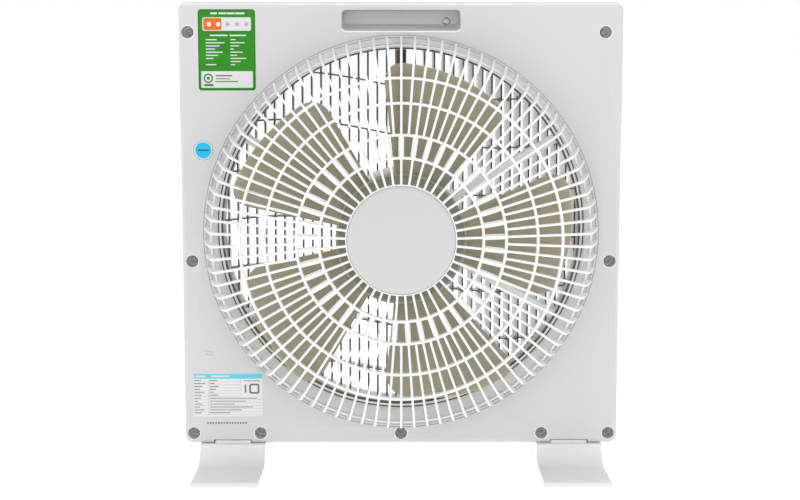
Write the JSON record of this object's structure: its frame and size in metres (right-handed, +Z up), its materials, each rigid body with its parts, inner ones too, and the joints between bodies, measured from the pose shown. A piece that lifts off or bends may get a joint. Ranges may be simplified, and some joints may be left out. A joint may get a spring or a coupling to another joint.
{
  "type": "box fan",
  "caption": "Square floor-standing box fan on two feet, with a domed rear guard, a bladed rotor, a rotating front louver and front controls.",
  "frame": {"origin": "on the floor, under the middle of the case", "axes": "+Z up, -Y towards the front louver where the air leaves, +Y towards the rear guard, +X to the right seen from the front"},
  "size_m": [0.437, 0.23, 0.4665],
  "materials": {
    "case_white": "fine satin moulded plastic",
    "guard_white": "smooth moulded plastic",
    "rotor_khaki": "slightly translucent moulded plastic",
    "louver_white": "smooth moulded plastic",
    "dark_plastic": "matt moulded plastic",
    "grey_plastic": "satin moulded plastic",
    "steel": "zinc-plated",
    "lamination": "varnished steel laminations",
    "bronze": "sintered bronze",
    "copper_wire": "enamelled copper wire",
    "lead_brown": "smooth wire sleeve",
    "lead_black": "smooth wire sleeve",
    "label_green": "glossy printed film",
    "label_blue": "glossy printed film",
    "label_white": "matt printed film"
  },
  "bodies": {
    "case": {"front_case": "case_white", "rear_cover": "case_white", "rear_guard": "guard_white", "guard_cap": "guard_white", "motor_bracket": "steel", "motor_rear_bell": "steel", "motor_front_bell": "steel", "motor_stator": "lamination", "motor_windings": "copper_wire", "rear_bearing": "bronze", "front_bearing": "bronze", "motor_screws": "steel", "motor_lead": "dark_plastic", "run_capacitor": "dark_plastic", "front_spider": "louver_white", "louver_track": "dark_plastic", "louver_motor": "grey_plastic", "louver_lead_brown": "lead_brown", "louver_lead_black": "lead_black", "timer_body": "grey_plastic", "speed_switch": "dark_plastic", "louver_switch": "dark_plastic", "control_panel": "grey_plastic", "foot_left": "case_white", "foot_right": "case_white", "foot_screws": "steel", "case_screws": "steel", "handle_screw": "steel", "energy_label": "label_green", "round_sticker": "label_blue", "rating_label": "label_white", "cord_gland": "case_white"},
    "rotor": {"fan_rotor": "rotor_khaki", "rotor_nut": "dark_plastic", "drive_pin": "steel", "motor_shaft": "steel", "motor_core": "lamination"},
    "louver": {"louver_disc": "louver_white", "louver_cap": "louver_white", "louver_shaft": "steel"},
    "timer": {"timer_knob": "grey_plastic"},
    "speed": {"speed_knob": "grey_plastic"},
    "button": {"louver_button": "grey_plastic"}
  },
  "joints": [
    {"name": "rotor_spin", "type": "hinge", "parent": "case", "child": "rotor", "pos_m": [0, 0.06, 0.2375], "axis": [0, 1, 0], "continuous": true},
    {"name": "louver_spin", "type": "hinge", "parent": "case", "child": "louver", "pos_m": [0, -0.037, 0.2375], "axis": [0, 1, 0], "continuous": true},
    {"name": "timer_turn", "type": "hinge", "parent": "case", "child": "timer", "pos_m": [-0.186, -0.05, 0.4], "axis": [0, 1, 0], "range_deg": [0, 300]},
    {"name": "speed_turn", "type": "hinge", "parent": "case", "child": "speed", "pos_m": [-0.14, -0.05, 0.436], "axis": [0, 1, 0], "range_deg": [0, 135]},
    {"name": "louver_push", "type": "slide", "parent": "case", "child": "button", "axis": [0, 1, 0], "range_m": [0, 0.003], "stiffness_N_per_m": 300}
  ]
}
